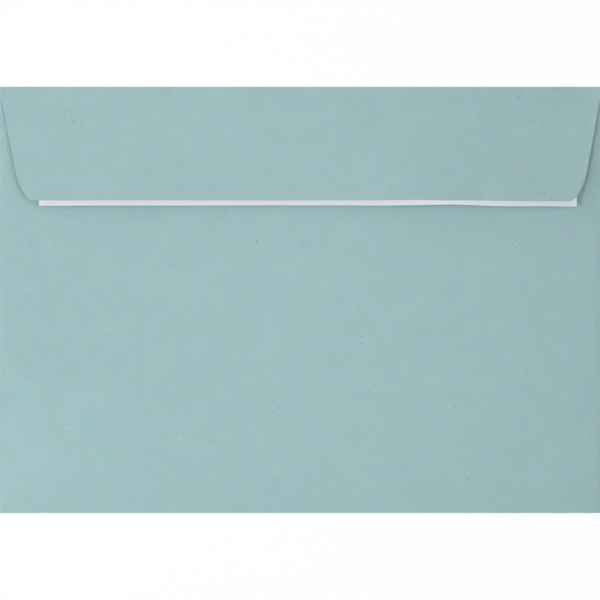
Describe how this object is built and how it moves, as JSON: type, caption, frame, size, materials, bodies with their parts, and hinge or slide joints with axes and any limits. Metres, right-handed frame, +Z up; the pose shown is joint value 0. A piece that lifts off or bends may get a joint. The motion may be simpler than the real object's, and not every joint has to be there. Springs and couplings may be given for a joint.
{
  "type": "paper envelope",
  "caption": "Wallet envelope of dyed paper, folded from one blank, with gummed side seams and an open seal flap that carries adhesive under a release liner.",
  "frame": {"origin": "middle of the underside, on the surface that the address side lies on", "axes": "+X along the envelope's length, to the right with the flap at the top; +Y towards the top fold; +Z up out of the flap side"},
  "size_m": [0.229, 0.162, 0.004],
  "materials": {
    "dyed_paper": "uncoated duck-egg blue paper, dyed through, with fine fibres and flecks",
    "seam_gum": "thin dried gum, matte",
    "flap_adhesive": "tacky clear adhesive film, slightly glossy",
    "liner_paper": "white release paper with a faint coated sheen"
  },
  "bodies": {
    "root": {"envelope_sheet": "dyed_paper", "side_seam_gum_left": "seam_gum", "side_seam_gum_right": "seam_gum", "flap_adhesive": "flap_adhesive", "release_liner": "liner_paper"}
  },
  "joints": []
}
